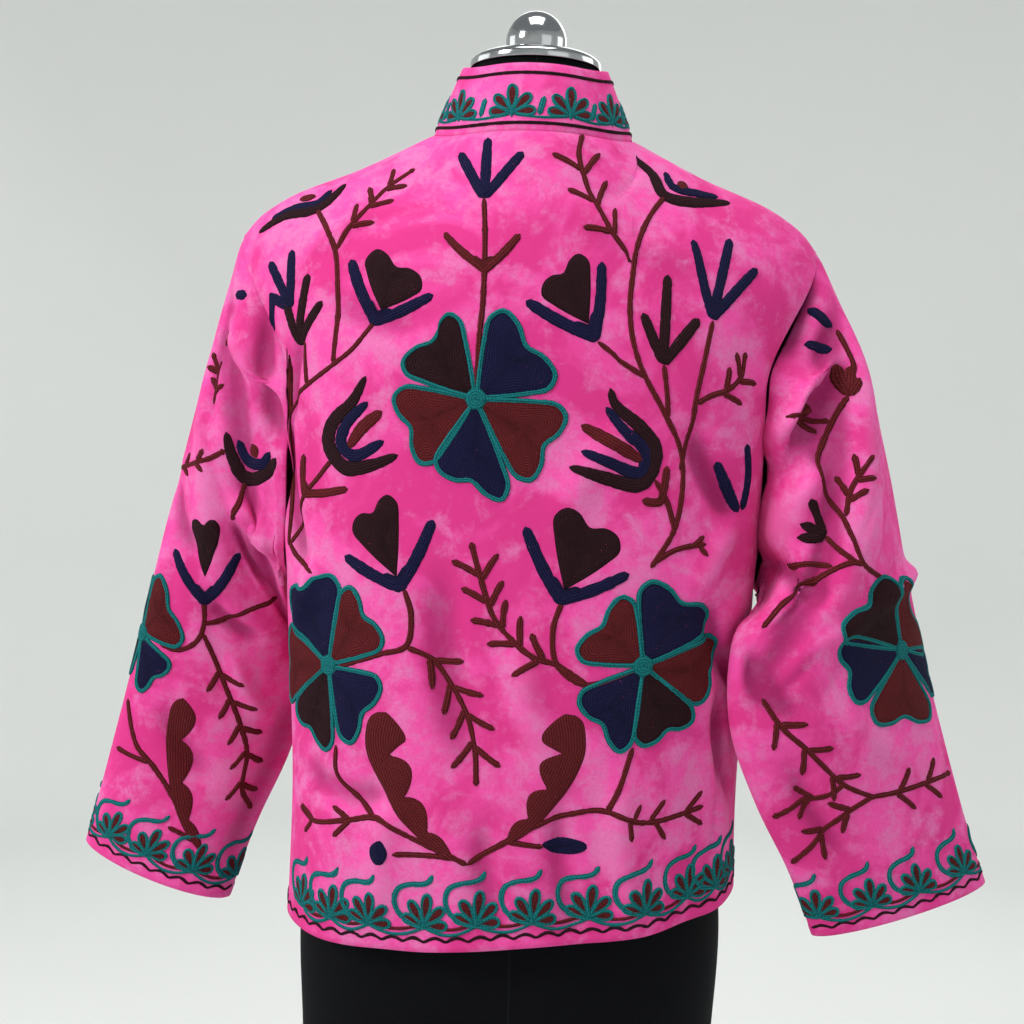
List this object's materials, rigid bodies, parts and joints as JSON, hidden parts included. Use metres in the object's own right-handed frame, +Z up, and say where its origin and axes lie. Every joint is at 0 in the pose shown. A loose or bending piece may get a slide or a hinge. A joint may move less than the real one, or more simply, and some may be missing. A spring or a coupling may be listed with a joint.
{
  "type": "suzani jacket on a dress form",
  "caption": "Open velvet jacket with stand collar, dropped shoulders and long wide sleeves, chain-stitched with flowers and vines, on a limbless dress form.",
  "frame": {"origin": "centre of the stand base's flat underside, on the surface that it stands on", "axes": "+Z up, the jacket's back faces -Y and its open fronts face +Y, +X is to the right seen from behind"},
  "size_m": [0.809, 0.34, 1.5416],
  "materials": {
    "velvet": "matte",
    "jersey": "matte",
    "chrome": "polished"
  },
  "bodies": {
    "root": {"back": "velvet", "front_left": "velvet", "front_right": "velvet", "sleeve_left": "velvet", "sleeve_right": "velvet", "collar": "velvet", "form_torso": "jersey", "neck_cap": "chrome", "finial": "chrome", "stand_pole": "chrome", "stand_base": "chrome"}
  },
  "joints": []
}
